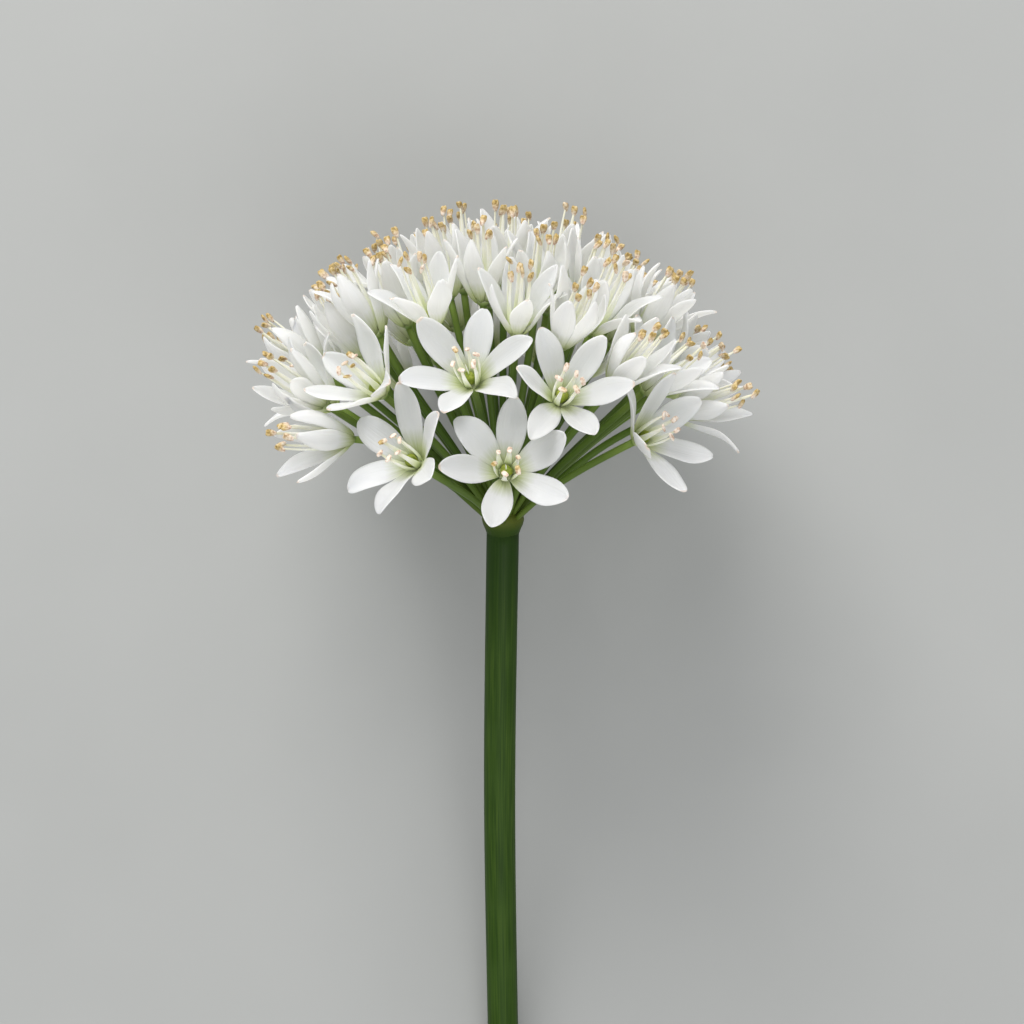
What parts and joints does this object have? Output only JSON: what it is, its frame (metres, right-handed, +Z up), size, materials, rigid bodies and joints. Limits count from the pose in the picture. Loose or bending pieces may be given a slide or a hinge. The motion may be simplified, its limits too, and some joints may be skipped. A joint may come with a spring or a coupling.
{
  "type": "allium flower head",
  "caption": "White allium flower head, a dome of star-shaped florets on thin green pedicels, lying on its cut stem.",
  "frame": {"origin": "on the surface the flower lies on, under the middle of its box", "axes": "+Y along the stem's shadow towards the head, +Z up, +X to the head's right seen from above"},
  "size_m": [0.0497, 0.0878, 0.0452],
  "materials": {
    "stalk": "smooth, slightly waxy green",
    "tepal": "soft matt white"
  },
  "bodies": {
    "root": {"stem_and_pedicels": "stalk", "floret_01": "tepal", "floret_02": "tepal", "floret_03": "tepal", "floret_04": "tepal", "floret_05": "tepal", "floret_06": "tepal", "floret_07": "tepal", "floret_08": "tepal", "floret_09": "tepal", "floret_10": "tepal", "floret_11": "tepal", "floret_12": "tepal", "floret_13": "tepal", "floret_14": "tepal", "floret_15": "tepal", "floret_16": "tepal", "floret_17": "tepal", "floret_18": "tepal", "floret_19": "tepal", "floret_20": "tepal", "floret_21": "tepal", "floret_22": "tepal", "floret_23": "tepal", "floret_24": "tepal", "floret_25": "tepal", "floret_26": "tepal", "floret_27": "tepal", "floret_28": "tepal", "floret_29": "tepal", "floret_30": "tepal", "floret_31": "tepal", "floret_32": "tepal", "floret_33": "tepal", "floret_34": "tepal", "floret_35": "tepal", "floret_36": "tepal", "floret_37": "tepal", "floret_38": "tepal", "floret_39": "tepal", "floret_40": "tepal", "floret_41": "tepal", "floret_42": "tepal", "floret_43": "tepal", "floret_44": "tepal", "floret_45": "tepal", "floret_46": "tepal", "floret_47": "tepal", "floret_48": "tepal", "floret_49": "tepal", "floret_50": "tepal", "floret_51": "tepal", "floret_52": "tepal", "floret_53": "tepal", "floret_54": "tepal"}
  },
  "joints": []
}
